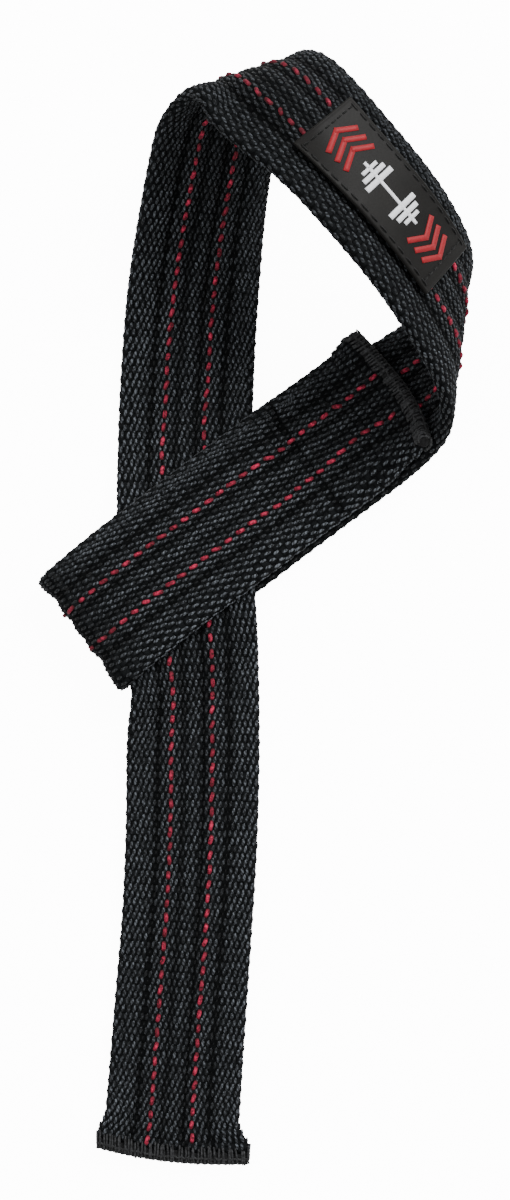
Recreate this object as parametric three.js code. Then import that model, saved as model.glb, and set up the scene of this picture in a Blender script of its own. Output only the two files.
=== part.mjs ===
// Lifting strap of padded, ribbed cotton webbing, laid out on a table, in millimetres, +Z up.
// The tail lies on the table and points along -Y. The band bends over at the top, runs down to the
// right, bends under, passes beneath the tail, turns round the tail's edge and is sewn down on itself.
import * as THREE from "three";
import { mergeVertices } from "three/addons/utils/BufferGeometryUtils.js";

// Driving sizes
const STRAP_LENGTH = 677;
const STRAP_WIDTH = 38;
const STRAP_THICKNESS = 4.4;
const GROOVE_DEPTH = 1.15;
const EDGE_ROUNDING = 1.8;
const CLEARANCE = 0.3;
const EYELET_LENGTH = 106;
const EYELET_WIDENING = 1.3;
const EYELET_SHIFT = 2.6;
const STEP_DOWN_RUN = 12;
const TAIL_RAMP_RUN = 17;
const LAYER_MARGIN = 1;
const SHIFT_RUN = 20;
const WIDENING_RUN = 10;
const EDGE_PINCH = 1.9;
const HEM_GAP = 0.5;
const HEM_DEPTH = 2.7;
const HEM_THICKNESS = 3.6;
const HEM_BOW = 1.8;
const HEM_BOW_RUN = 27;
const EYELET_HEM_BOW = 0.7;
const EYELET_HEM_LEFT_REACH = 3.6;
const EYELET_HEM_RIGHT_REACH = -0.8;
const HEM_FLARE = 2.1;
const HEM_FLARE_RUN = 9;
const PATCH_LENGTH = 53;
const PATCH_WIDTH = 21;
const PATCH_THICKNESS = 1.0;
const PATCH_OFFSET = 1.1;
const PATCH_START = 0.51 * STRAP_LENGTH;

// How far the flat band leans to the right as it runs on: place in percent of the length, degrees
const LEAN_ROWS = [
  { at: 0, lean: 4 },
  { at: 9, lean: 4.5 },
  { at: 16, lean: 0.5 },
  { at: 23.5, lean: -3.5 },
  { at: 32, lean: 2.5 },
  { at: 36, lean: 4.5 },
  { at: 44, lean: 5.5 },
  { at: 50, lean: 9.5 },
  { at: 55, lean: 15 },
  { at: 60.5, lean: 17 },
  { at: 66.5, lean: 16.5 },
  { at: 74, lean: 14.5 },
];

// The wrist loop: place in percent of the length, bend in degrees for each percent,
// and the slant of the line that the band bends about, in degrees from square across
const BEND_ROWS = [
  { at: 33.5, bend: 0, slant: -43 },
  { at: 37, bend: 8, slant: -39 },
  { at: 39, bend: 5, slant: -36 },
  { at: 41.5, bend: 0.5, slant: -32 },
  { at: 43.5, bend: 7, slant: -28 },
  { at: 46, bend: 25, slant: -22 },
  { at: 48, bend: 27, slant: -17 },
  { at: 50, bend: 6.5, slant: -8 },
  { at: 53, bend: 1, slant: 4 },
  { at: 56, bend: 6, slant: 17 },
  { at: 58.5, bend: 4.5, slant: 29 },
  { at: 60.5, bend: 13, slant: 37 },
  { at: 63, bend: 24, slant: 42 },
  { at: 65, bend: 16.5, slant: 42.5 },
  { at: 68, bend: 3.5, slant: 41.5 },
  { at: 71, bend: 0, slant: 40.5 },
];

// Where the band gets narrower or wider, drifts to its right, and is pressed thinner: place in
// percent of the length, the others as shares of the full width and thickness
const GIRTH_ROWS = [
  { at: 0, width: 1, shift: 0, thickness: 0.86 },
  { at: 1.6, width: 1, shift: 0, thickness: 1 },
  { at: 10, width: 0.975, shift: 0, thickness: 1 },
  { at: 21, width: 1.005, shift: 0, thickness: 1 },
  { at: 30, width: 1, shift: 0, thickness: 1 },
  { at: 36, width: 0.985, shift: 0, thickness: 1 },
  { at: 42, width: 0.96, shift: 0.005, thickness: 1 },
  { at: 48, width: 0.955, shift: -0.008, thickness: 1 },
  { at: 52, width: 0.955, shift: -0.018, thickness: 1 },
  { at: 60, width: 0.95, shift: -0.035, thickness: 1 },
  { at: 66, width: 0.98, shift: 0, thickness: 1 },
  { at: 79, width: 1, shift: 0, thickness: 1 },
  { at: 82, width: 1, shift: 0, thickness: 0.82 },
  { at: 84.5, width: 1, shift: 0, thickness: 0.82 },
  { at: 87, width: 1, shift: 0, thickness: 1 },
  { at: 98.6, width: 1, shift: 0, thickness: 1 },
  { at: 100, width: 1, shift: 0, thickness: 0.9 },
];

// Left edge by the corner of the top fold: place in percent of the length, how far it is gathered
// inwards (let out where negative) and how far it sags, as shares of the width
const CORNER_ROWS = [
  { at: 43.5, inward: 0, drop: 0 },
  { at: 45, inward: 0.053, drop: 0 },
  { at: 46, inward: 0.066, drop: 0.02 },
  { at: 47, inward: 0.013, drop: 0.1 },
  { at: 48, inward: -0.09, drop: 0.21 },
  { at: 49, inward: -0.09, drop: 0.24 },
  { at: 50, inward: -0.066, drop: 0.2 },
  { at: 51, inward: -0.026, drop: 0.15 },
  { at: 52.5, inward: 0, drop: 0.08 },
  { at: 54.5, inward: 0, drop: 0 },
];

// Sewn channels between the five ribs: place across as a share of the width, depth as a share
const GROOVE_ROWS = [
  { across: -0.268, depth: 1 },
  { across: -0.07, depth: 0.55 },
  { across: 0.08, depth: 0.8 },
  { across: 0.27, depth: 1 },
];
const RIB_SHOULDER = 0.24;
const EDGE_ROUND_ROWS = [
  { inward: 0, height: 0 },
  { inward: 0.28, height: 0.66 },
  { inward: 1, height: 1 },
];

// How many rings of the mesh lie along each stretch: places in percent of the length
const RING_ROWS = [
  { from: 0, to: 1.6, rings: 2 },
  { from: 1.6, to: 15.5, rings: 5 },
  { from: 15.5, to: 34, rings: 20 },
  { from: 34, to: 43.6, rings: 9 },
  { from: 43.6, to: 51, rings: 14 },
  { from: 51, to: 60, rings: 9 },
  { from: 60, to: 68, rings: 14 },
  { from: 68, to: 80.5, rings: 9 },
];
const EYELET_TURN_RINGS = 9;
const EYELET_TOP_RINGS = 20;

const LAYER_STEP = STRAP_THICKNESS + CLEARANCE;
const EYELET_RADIUS = LAYER_STEP;
const EYELET_TURN = Math.PI * EYELET_RADIUS;
const EYELET_START = STRAP_LENGTH - EYELET_LENGTH - EYELET_TURN;
const TRACE_STEPS = 340;
const RULING_SEARCHES = 8;
const RULING_DAMPING = 0.9;
const TRACE_STEP = STRAP_LENGTH / TRACE_STEPS;
const SETTLE_FROM = 0.66 * STRAP_LENGTH;
const SETTLE_TO = 0.705 * STRAP_LENGTH;
const BACK_SIGHT = 20;
const CROSSING_ALONG = 0.255 * STRAP_LENGTH;
const PINCH_ALONG = 0.197 * STRAP_LENGTH;
const PINCH_RUN = 11;

const radians = THREE.MathUtils.degToRad;

function smooth(from, to, value) {
  return THREE.MathUtils.smoothstep(value, from, to);
}

function fromRows(rows, column, along) {
  const percent = (along / STRAP_LENGTH) * 100;
  if (percent <= rows[0].at) return rows[0][column];
  for (let i = 1; i < rows.length; i += 1) {
    if (percent <= rows[i].at) {
      const share = (percent - rows[i - 1].at) / (rows[i].at - rows[i - 1].at);
      return THREE.MathUtils.lerp(rows[i - 1][column], rows[i][column], share);
    }
  }
  return rows[rows.length - 1][column];
}

function thicknessAt(along) {
  return STRAP_THICKNESS * fromRows(GIRTH_ROWS, "thickness", along);
}

// Follows the middle of the band: its place on the flat pattern, and that pattern's frame in space
function traceBand() {
  const trace = [];
  const flat = new THREE.Vector2();
  const place = new THREE.Vector3(flat.x, flat.y, STRAP_THICKNESS / 2);
  const sideways = new THREE.Vector3(1, 0, 0);
  const onwards = new THREE.Vector3(0, 1, 0);
  const up = new THREE.Vector3(0, 0, 1);
  const axis = new THREE.Vector3();
  for (let i = 0; i <= TRACE_STEPS; i += 1) {
    const along = i * TRACE_STEP;
    const middle = along + TRACE_STEP / 2;
    const heading = radians(fromRows(LEAN_ROWS, "lean", along));
    const slant = radians(fromRows(BEND_ROWS, "slant", along));
    trace.push({
      flat: flat.clone(),
      heading,
      slant,
      place: place.clone(),
      sideways: sideways.clone(),
      onwards: onwards.clone(),
      up: up.clone(),
    });
    const stepHeading = radians(fromRows(LEAN_ROWS, "lean", middle));
    const ruling = stepHeading + radians(fromRows(BEND_ROWS, "slant", middle));
    const bend = radians(fromRows(BEND_ROWS, "bend", middle)) * (TRACE_STEP / STRAP_LENGTH) * 100;
    const dx = Math.sin(stepHeading) * TRACE_STEP;
    const dy = Math.cos(stepHeading) * TRACE_STEP;
    axis.copy(sideways).multiplyScalar(Math.cos(ruling)).addScaledVector(onwards, -Math.sin(ruling));
    axis.normalize();
    for (const half of [0, 1]) {
      for (const direction of [sideways, onwards, up]) direction.applyAxisAngle(axis, bend / 2);
      if (half === 0) place.addScaledVector(sideways, dx).addScaledVector(onwards, dy);
    }
    flat.x += dx;
    flat.y += dy;
  }
  return trace;
}

const TRACE = traceBand();

// The trace at any place along, also a little before its start
function traceAt(along) {
  const index = THREE.MathUtils.clamp(Math.floor(along / TRACE_STEP), 0, TRACE_STEPS - 1);
  const share = along / TRACE_STEP - index;
  const a = TRACE[index];
  const b = TRACE[index + 1];
  return {
    flat: a.flat.clone().lerp(b.flat, share),
    heading: THREE.MathUtils.lerp(a.heading, b.heading, share),
    slant: THREE.MathUtils.lerp(a.slant, b.slant, share),
    place: a.place.clone().lerp(b.place, share),
    sideways: a.sideways.clone().lerp(b.sideways, share),
    onwards: a.onwards.clone().lerp(b.onwards, share),
  };
}

// Place in space of a point of the flat band, from the line that it bends about
function bentPoint(along, across) {
  const start = traceAt(along);
  const x = start.flat.x + across * Math.cos(start.heading);
  const y = start.flat.y - across * Math.sin(start.heading);
  let ruling = start;
  let place = along;
  for (let i = 0; i < RULING_SEARCHES; i += 1) {
    const angle = ruling.heading + ruling.slant;
    const ahead = (x - ruling.flat.x) * Math.sin(angle) + (y - ruling.flat.y) * Math.cos(angle);
    place += (RULING_DAMPING * ahead) / Math.cos(ruling.slant);
    ruling = traceAt(place);
  }
  const point = ruling.place.clone();
  point.addScaledVector(ruling.sideways, x - ruling.flat.x);
  point.addScaledVector(ruling.onwards, y - ruling.flat.y);
  return point;
}

// The back layer's line across the table, and the tail's line where they cross
const BACK_START = bentPoint(EYELET_START, 0).setZ(0);
const BACK_DIRECTION = BACK_START.clone().sub(bentPoint(SETTLE_TO + BACK_SIGHT, 0).setZ(0)).normalize();
const BACK_ACROSS = new THREE.Vector3(-BACK_DIRECTION.y, BACK_DIRECTION.x, 0);
const CROSSING = traceAt(CROSSING_ALONG);
const TAIL_ACROSS = new THREE.Vector3(Math.cos(CROSSING.heading), -Math.sin(CROSSING.heading), 0);

// The tail rides up over the back layer, and the back layer lies flat on the table
function layerPoint(along, across) {
  const point = bentPoint(along, across);
  point.z -= STRAP_WIDTH * fromRows(CORNER_ROWS, "drop", along) * smooth(0, STRAP_WIDTH / 2, -across);
  if (along < 0.5 * STRAP_LENGTH) {
    const rest = thicknessAt(along) / 2 - STRAP_THICKNESS / 2;
    const beside = Math.abs(point.clone().sub(BACK_START).dot(BACK_ACROSS));
    const edge = STRAP_WIDTH / 2 + LAYER_MARGIN;
    const lift = 1 - smooth(edge, edge + TAIL_RAMP_RUN, beside);
    const room = 1 - smooth(0, 2 * LAYER_STEP, point.z - STRAP_THICKNESS / 2);
    point.z += rest * (1 - lift) + LAYER_STEP * lift * room;
    return point;
  }
  const settled = smooth(SETTLE_FROM, SETTLE_TO, along);
  point.z = THREE.MathUtils.lerp(point.z, thicknessAt(along) / 2, settled);
  return point;
}

function normalOf(pointAt, along, across) {
  const step = 1;
  const onwards = pointAt(along + step, across).sub(pointAt(along - step, across));
  const sideways = pointAt(along, across + step).sub(pointAt(along, across - step));
  return sideways.cross(onwards).normalize();
}

// Turn round the tail's edge, then the front layer of the eyelet, which comes down beside the tail
function eyeletPoint(along, across) {
  const past = along - EYELET_START;
  const shift = EYELET_SHIFT * smooth(-SHIFT_RUN, EYELET_TURN + SHIFT_RUN, past);
  const widening = (EYELET_WIDENING / STRAP_WIDTH) * smooth(-WIDENING_RUN, EYELET_TURN, past);
  const sideways = across * (1 + widening) + shift;
  if (past < EYELET_TURN) {
    const angle = Math.max(past, 0) / EYELET_RADIUS;
    const start = layerPoint(EYELET_START, sideways);
    start.addScaledVector(BACK_DIRECTION, EYELET_RADIUS * Math.sin(angle) + Math.min(past, 0));
    start.z = STRAP_THICKNESS / 2 + EYELET_RADIUS * (1 - Math.cos(angle));
    return start;
  }
  const below = EYELET_START - (past - EYELET_TURN);
  const point = layerPoint(below, sideways);
  const up = normalOf(layerPoint, below, sideways);
  const besideTail = point.clone().sub(CROSSING.place).dot(TAIL_ACROSS) - STRAP_WIDTH / 2;
  const overTail = 1 - smooth(LAYER_MARGIN, LAYER_MARGIN + STEP_DOWN_RUN, besideTail);
  return point.addScaledVector(up, LAYER_STEP * (1 + overTail));
}

// Middle surface of the whole band
function bandPoint(along, across) {
  return along < EYELET_START ? layerPoint(along, across) : eyeletPoint(along, across);
}

function bandNormal(along, across) {
  if (along < EYELET_START - 1) return normalOf(layerPoint, along, across);
  return normalOf(eyeletPoint, Math.max(along, EYELET_START + 1), across);
}

// Half of the thickness at a place across, as a share: five ribs with sewn channels between them
function sectionPoints() {
  const half = 0.5;
  const rounding = EDGE_ROUNDING / STRAP_WIDTH;
  const grooveShare = (2 * GROOVE_DEPTH) / STRAP_THICKNESS;
  const points = [];
  for (const row of EDGE_ROUND_ROWS) {
    points.push({ across: -half + row.inward * rounding, height: row.height });
  }
  const limits = [-half, ...GROOVE_ROWS.map((row) => row.across), half];
  for (let rib = 0; rib < limits.length - 1; rib += 1) {
    const width = limits[rib + 1] - limits[rib];
    if (rib > 0) {
      points.push({ across: limits[rib], height: 1 - grooveShare * GROOVE_ROWS[rib - 1].depth });
      points.push({ across: limits[rib] + RIB_SHOULDER * width, height: 1 });
    }
    if (rib < GROOVE_ROWS.length) {
      points.push({ across: limits[rib + 1] - RIB_SHOULDER * width, height: 1 });
    }
  }
  for (const row of [...EDGE_ROUND_ROWS].reverse()) {
    points.push({ across: half - row.inward * rounding, height: row.height });
  }
  return points;
}

// Width of the band at a place along, with the flare of its two hemmed ends
function widthAt(along) {
  const ends = 2 - smooth(0, HEM_FLARE_RUN, along) - smooth(0, HEM_FLARE_RUN, STRAP_LENGTH - along);
  return STRAP_WIDTH * fromRows(GIRTH_ROWS, "width", along) + 2 * HEM_FLARE * ends;
}

// Both hems bow outwards in the middle, and the eyelet's hem reaches further at its left corner
function bowedPlace(along, share) {
  const round = 1 - 4 * share * share;
  const tailEnd = 1 - smooth(0, HEM_BOW_RUN, along);
  const eyeletEnd = smooth(STRAP_LENGTH - HEM_BOW_RUN, STRAP_LENGTH, along);
  const reach = THREE.MathUtils.lerp(EYELET_HEM_LEFT_REACH, EYELET_HEM_RIGHT_REACH, share + 0.5);
  return along - HEM_BOW * round * tailEnd + (EYELET_HEM_BOW * round + reach) * eyeletEnd;
}

// The left edge is pinched where the eyelet grips it, and gathered at the corner of the top fold
function pinchedAcross(along, share) {
  const pinch = EDGE_PINCH * Math.exp(-(((along - PINCH_ALONG) / PINCH_RUN) ** 2));
  const gather = STRAP_WIDTH * fromRows(CORNER_ROWS, "inward", along);
  const leftness = smooth(0, 0.5, -share);
  const drift = STRAP_WIDTH * fromRows(GIRTH_ROWS, "shift", along);
  return share * widthAt(along) + drift + (pinch + gather) * leftness;
}

function surfacePoint(along, share, side) {
  const place = bowedPlace(along, share);
  const across = pinchedAcross(along, share);
  const point = bandPoint(place, across);
  point.addScaledVector(bandNormal(place, across), (side * thicknessAt(along)) / 2);
  point.z = Math.max(point.z, 0);
  return point;
}

function meshFromRings(name, rings, material) {
  const positions = rings.flat().flatMap((point) => point.toArray());
  const size = rings[0].length;
  const faces = [];
  for (let i = 0; i < rings.length - 1; i += 1) {
    for (let j = 0; j < size; j += 1) {
      const a = i * size + j;
      const b = i * size + ((j + 1) % size);
      faces.push(a, b, a + size, b, b + size, a + size);
    }
  }
  const half = size / 2;
  for (const [start, flip] of [[0, true], [(rings.length - 1) * size, false]]) {
    for (let j = 0; j < half; j += 1) {
      const a = start + j;
      const b = start + j + 1;
      const c = start + ((size - j) % size);
      const d = start + size - j - 1;
      for (const [p, q, r] of [[a, b, d], [a, d, c]]) {
        if (p !== q && q !== r && r !== p) faces.push(...(flip ? [p, r, q] : [p, q, r]));
      }
    }
  }
  const geometry = new THREE.BufferGeometry();
  geometry.setAttribute("position", new THREE.Float32BufferAttribute(positions, 3));
  geometry.setIndex(faces);
  const merged = mergeVertices(geometry);
  merged.computeVertexNormals();
  const mesh = new THREE.Mesh(merged, material);
  mesh.name = name;
  return mesh;
}

const webbing = new THREE.MeshStandardMaterial({ color: 0x2b2d30, roughness: 0.95, metalness: 0 });
const binding = new THREE.MeshStandardMaterial({ color: 0x303236, roughness: 0.9, metalness: 0 });
const leatherette = new THREE.MeshStandardMaterial({ color: 0x3a3834, roughness: 0.55, metalness: 0 });

// Places along the band where the mesh has a ring
function ringPlaces() {
  const places = [];
  for (const row of RING_ROWS) {
    for (let i = 0; i < row.rings; i += 1) {
      places.push(((row.from + ((row.to - row.from) * i) / row.rings) / 100) * STRAP_LENGTH);
    }
  }
  for (let i = 0; i <= EYELET_TURN_RINGS; i += 1) {
    places.push(EYELET_START + (EYELET_TURN * i) / EYELET_TURN_RINGS);
  }
  for (let i = 1; i <= EYELET_TOP_RINGS; i += 1) {
    places.push(EYELET_START + EYELET_TURN + (EYELET_LENGTH * i) / EYELET_TOP_RINGS);
  }
  return places;
}

function makeStrap() {
  const section = sectionPoints();
  const lower = section.slice(1, -1).reverse();
  const rings = ringPlaces().map((along) => [
    ...section.map((row) => surfacePoint(along, row.across, row.height)),
    ...lower.map((row) => surfacePoint(along, row.across, -row.height)),
  ]);
  return meshFromRings("strap", rings, webbing);
}

// Overlocked binding across an end: a rounded bar that follows the end of the band
const HEM_SECTION_ROWS = [
  { depth: 0, height: -0.8 },
  { depth: 0, height: 0.8 },
  { depth: 0.3, height: 1 },
  { depth: 0.75, height: 0.8 },
  { depth: 1, height: 0 },
  { depth: 0.75, height: -0.8 },
  { depth: 0.3, height: -1 },
  { depth: 0.14, height: -0.9 },
];
const HEM_STEPS = 14;
const HEM_END_TAPER = 0.7;

function makeHem(name, end, direction) {
  const rings = [];
  for (let i = 0; i <= HEM_STEPS; i += 1) {
    const share = i / HEM_STEPS - 0.5;
    const place = bowedPlace(end, share);
    const across = share * widthAt(end);
    const middle = bandPoint(place, across);
    const outwards = middle.clone().sub(bandPoint(place - direction, across)).normalize();
    const normal = bandNormal(place, across);
    const taper = i === 0 || i === HEM_STEPS ? HEM_END_TAPER : 1;
    const ring = HEM_SECTION_ROWS.map((row) => {
      const point = middle.clone().addScaledVector(outwards, HEM_GAP + HEM_DEPTH * row.depth);
      point.addScaledVector(normal, (row.height * taper * HEM_THICKNESS) / 2);
      point.z = Math.max(point.z, 0);
      return point;
    });
    rings.push(direction < 0 ? ring : ring.reverse());
  }
  return meshFromRings(name, rings, binding);
}

// Smooth patch on the outside of the label band, bent with it
const PATCH_STEPS = 14;
const PATCH_COLUMNS = [-0.5, -0.25, 0, 0.25, 0.5];

function makePatch() {
  const inner = STRAP_THICKNESS / 2 + CLEARANCE;
  const outer = inner + PATCH_THICKNESS;
  const rings = [];
  for (let i = 0; i <= PATCH_STEPS; i += 1) {
    const along = PATCH_START + (PATCH_LENGTH * i) / PATCH_STEPS;
    const row = (share, away) => {
      const across = PATCH_OFFSET + share * PATCH_WIDTH;
      return bandPoint(along, across).addScaledVector(bandNormal(along, across), -away);
    };
    rings.push([
      ...PATCH_COLUMNS.map((share) => row(share, inner)),
      ...[...PATCH_COLUMNS].reverse().map((share) => row(share, outer)),
    ]);
  }
  return meshFromRings("label_patch", rings, leatherette);
}

const strap = new THREE.Group();
strap.add(makeStrap());
strap.add(makeHem("tail_hem", 0, -1));
strap.add(makeHem("eyelet_hem", STRAP_LENGTH, 1));
strap.add(makePatch());

// The origin is under the middle of the whole strap
const box = new THREE.Box3().setFromObject(strap);
strap.position.set(-(box.min.x + box.max.x) / 2, -(box.min.y + box.max.y) / 2, -box.min.z);

export default strap;
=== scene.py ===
"""Lifting strap of padded, ribbed cotton webbing: weave, red lines, threads, patch and light."""
import math

import bpy
import numpy as np
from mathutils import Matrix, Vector


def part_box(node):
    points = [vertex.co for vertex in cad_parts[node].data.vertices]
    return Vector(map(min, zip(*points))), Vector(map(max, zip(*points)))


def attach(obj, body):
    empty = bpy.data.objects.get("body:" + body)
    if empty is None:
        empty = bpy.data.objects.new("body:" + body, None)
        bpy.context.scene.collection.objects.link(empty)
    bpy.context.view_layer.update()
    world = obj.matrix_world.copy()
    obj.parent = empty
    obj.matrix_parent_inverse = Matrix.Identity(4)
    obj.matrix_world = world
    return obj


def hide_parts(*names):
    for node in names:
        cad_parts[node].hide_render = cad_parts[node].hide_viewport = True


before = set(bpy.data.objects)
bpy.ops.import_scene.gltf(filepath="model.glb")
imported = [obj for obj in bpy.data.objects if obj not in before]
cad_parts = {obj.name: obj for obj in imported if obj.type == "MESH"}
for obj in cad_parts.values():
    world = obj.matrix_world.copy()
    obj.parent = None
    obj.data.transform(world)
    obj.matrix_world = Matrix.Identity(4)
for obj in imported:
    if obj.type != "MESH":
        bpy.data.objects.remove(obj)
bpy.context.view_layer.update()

MM = 0.001

# Driving sizes of the band and its patch, in millimetres, as in the solids
STRAP_LENGTH = 677.0
STRAP_WIDTH = 38.0
STRAP_THICKNESS = 4.4
GROOVE_DEPTH = 1.15
EDGE_ROUNDING = 1.8
CLEARANCE = 0.3
EYELET_LENGTH = 106.0
EYELET_WIDENING = 1.3
EYELET_SHIFT = 2.6
STEP_DOWN_RUN = 12.0
TAIL_RAMP_RUN = 17.0
LAYER_MARGIN = 1.0
SHIFT_RUN = 20.0
WIDENING_RUN = 10.0
EDGE_PINCH = 1.9
HEM_GAP = 0.5
HEM_DEPTH = 2.7
HEM_THICKNESS = 3.6
HEM_BOW = 1.8
HEM_BOW_RUN = 27.0
EYELET_HEM_BOW = 0.7
EYELET_HEM_LEFT_REACH = 3.6
EYELET_HEM_RIGHT_REACH = -0.8
HEM_FLARE = 2.1
HEM_FLARE_RUN = 9.0
PATCH_LENGTH = 53.0
PATCH_WIDTH = 21.0
PATCH_THICKNESS = 1.0
PATCH_OFFSET = 1.1
PATCH_START = 0.51 * STRAP_LENGTH

# The free end, cut back from the end of the solids, most of all at its left corner
TAIL_TRIM_LEFT = 4.2
TAIL_TRIM_RIGHT = 2.6
TAIL_CORNER_FLARE = 1.8

# Places in percent of the length; the flat band's lean in degrees
LEAN_ROWS = {
    "at": [0, 9, 16, 23.5, 32, 36, 44, 50, 55, 60.5, 66.5, 74],
    "lean": [4, 4.5, 0.5, -3.5, 2.5, 4.5, 5.5, 9.5, 15, 17, 16.5, 14.5],
}
# The wrist loop: bend in degrees for each percent, and the slant of the line it bends about
BEND_ROWS = {
    "at": [33.5, 37, 39, 41.5, 43.5, 46, 48, 50, 53, 56, 58.5, 60.5, 63, 65, 68, 71],
    "bend": [0, 8, 5, 0.5, 7, 25, 27, 6.5, 1, 6, 4.5, 13, 24, 16.5, 3.5, 0],
    "slant": [-43, -39, -36, -32, -28, -22, -17, -8, 4, 17, 29, 37, 42, 42.5, 41.5, 40.5],
}
# Width and thickness as shares of the full ones, and the drift to the band's right
GIRTH_ROWS = {
    "at": [0, 1.6, 10, 21, 30, 36, 42, 48, 52, 60, 66, 79, 82, 84.5, 87, 98.6, 100],
    "width": [1, 1, 0.975, 1.005, 1, 0.985, 0.96, 0.955, 0.955, 0.95, 0.98, 1, 1, 1, 1, 1, 1],
    "shift": [0, 0, 0, 0, 0, 0, 0.005, -0.008, -0.018, -0.035, 0, 0, 0, 0, 0, 0, 0],
    "thickness": [0.86, 1, 1, 1, 1, 1, 1, 1, 1, 1, 1, 1, 0.82, 0.82, 1, 1, 0.9],
}
# The left edge by the corner of the top fold: gathered inwards, and sagging
CORNER_ROWS = {
    "at": [43.5, 45, 46, 47, 48, 49, 50, 51, 52.5, 54.5],
    "inward": [0, 0.053, 0.066, 0.013, -0.09, -0.09, -0.066, -0.026, 0, 0],
    "drop": [0, 0, 0.02, 0.1, 0.21, 0.24, 0.2, 0.15, 0.08, 0],
}
# Sewn channels between the five ribs, and how channels and red lines drift to the band's right
GROOVE_ROWS = {"across": [-0.268, -0.07, 0.08, 0.27], "depth": [1, 0.8, 0.95, 1]}
CHANNEL_ROWS = {"at": [0, 20, 36, 50, 100], "drift": [0, 0, 0.012, 0.038, 0.035]}

LAYER_STEP = STRAP_THICKNESS + CLEARANCE
EYELET_RADIUS = LAYER_STEP
EYELET_TURN = math.pi * EYELET_RADIUS
EYELET_START = STRAP_LENGTH - EYELET_LENGTH - EYELET_TURN
FRONT_START = EYELET_START + EYELET_TURN
TRACE_STEPS = 1020
TRACE_STEP = STRAP_LENGTH / TRACE_STEPS
RULING_TRIES = 8
RULING_STEP = 0.9
SETTLE_FROM = 0.66 * STRAP_LENGTH
SETTLE_TO = 0.705 * STRAP_LENGTH
BACK_SIGHT = 20.0
CROSSING_ALONG = 0.255 * STRAP_LENGTH
PINCH_ALONG = 0.197 * STRAP_LENGTH
PINCH_RUN = 11.0

# Colours of the yarns, between and on top of them, where the ground between them and the red dips are painted
# shade; and how pale they are along the band and across it, as painted light and shade
WEBBING_SHADED_GAP = (0.0008, 0.0009, 0.001)
WEBBING_SHADED_WEFT = (0.009, 0.010, 0.011)
WEBBING_TOP = (0.088, 0.098, 0.111)
RED_DIP_SHADE = (0.035, 0.0005, 0.0025)
RED_TOP = (0.42, 0.022, 0.062)
# Painted light and shade on the tail's left and right sides, by places along the band
SIDE_PAINTED_LIGHT_ROWS = {
    "at": [0, 24, 30, 42, 45, 100],
    "left": [0, 0, 0.35, 0.35, 0, 0],
    "right": [0.3, 0.3, -0.1, -0.1, 0, 0],
}
SIDE_PAINTED_LIGHT_FADES = {"left": (0, 0.3), "right": (0.25, 0.5)}
# Painted light and shade across the front layer's ribs: its slope, its lift, and more light on the first rib
# and more shade on the last
FRONT_PAINTED_LIGHT_SLOPE = 0.5
FRONT_PAINTED_LIGHT_LIFT = 0.1
FRONT_PAINTED_LIGHT_RUN = 6.0
FIRST_RIB_PAINTED_LIGHT = 0.45
LAST_RIB_PAINTED_SHADE = 0.12
LAST_RIB = len(GROOVE_ROWS["across"])
# Painted light and shade along the band, as multipliers of the yarns' tone: darker by the top fold and on the
# back layer, paler on the tail and the front layer
PAINTED_LIGHT_ROWS = {
    "at": [0, 36, 43, 46, 58, 62, 66, 72, 84, 86, 94, 96, 100],
    "tone": [1.4, 1.45, 0.8, 0.75, 0.9, 1.15, 0.6, 0.3, 0.5, 1.8, 1.8, 1.4, 1.1],
}
# Painted light and shade along the red lines, in the same way
RED_PAINTED_LIGHT_ROWS = {
    "at": [0, 42, 45, 52, 56, 65, 70, 84, 86, 100],
    "tone": [1, 0.9, 0.5, 0.5, 0.9, 0.8, 0.5, 0.5, 1, 0.9],
}

# The weave, its red warp threads and the threads of the seams, in millimetres
PICK = 2.05
FLOAT_PERIOD = 2 * PICK
RED_ROWS = (-0.163, 0.147)
COLUMNS_BETWEEN_RED = 15
WARP_COLUMN = (RED_ROWS[1] - RED_ROWS[0]) * STRAP_WIDTH / COLUMNS_BETWEEN_RED
YARN_RISE = 0.28
FLOAT_SIZE = (0.5, 1.34, 0.46)
FLOAT_SIZE_SPREAD = 0.06
FLOAT_SINK = 0.14
FLOAT_SINK_IN_SHADE = 0.12
FLOAT_TILT = 0.14
FLOAT_TILT_SPREAD = 0.07
FLOAT_TONES = (0.22, 0.52)
SHADE_STRENGTH = 0.93
FIRST_FLOAT = 2.2
LAST_FLOAT_FROM_END = 0.9
FLOAT_FROM_EDGE = 0.3
FLOAT_SCATTER = 0.09
COLUMN_SCATTER = 0.0016
ALONG_PROBE = 0.7
ACROSS_PROBE = 0.25
EDGE_FLOAT_FROM_END = 1.2
EDGE_FLOAT_SCATTER = 0.1
EDGE_FLOAT_SINK = 0.12
EDGE_COLUMN_HEIGHT = 0.72
EDGE_COLUMN_SINK = 0.2
EDGE_COLUMN_TURN = 0.6
RED_FLOAT = 2.1
RED_FLOAT_SPREAD = 0.13
RED_TWIST = 0.35
RED_TWIST_SPREAD = 0.3
RED_TONES = (0.35, 1.1)
RED_ARCH = 0.55
RED_SINK = 0.3
PLY_TURNS = 6.5
PLY_SLANT = 2.6
PLY_SCATTER = 40.0
SWAY_SCALE = 0.55
RIDGE_POWERS = (2.0, 2.4)
SEAM_ALONG = STRAP_LENGTH - 30.5
JOG_ALONG = STRAP_LENGTH - 16.0


# The band's shape, as in the solids but for its trimmed free end, on whole arrays of places

def smooth(start, end, value):
    t = np.clip((value - start) / (end - start), 0, 1)
    return t * t * (3 - 2 * t)


def hump(off, run):
    """One where off is none, fading to none within about two runs on both sides."""
    return np.exp(-((off / run) ** 2))


def from_rows(rows, column, along):
    return np.interp(along / STRAP_LENGTH * 100, rows["at"], rows[column])


def thickness_at(along):
    return STRAP_THICKNESS * from_rows(GIRTH_ROWS, "thickness", along)


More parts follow.
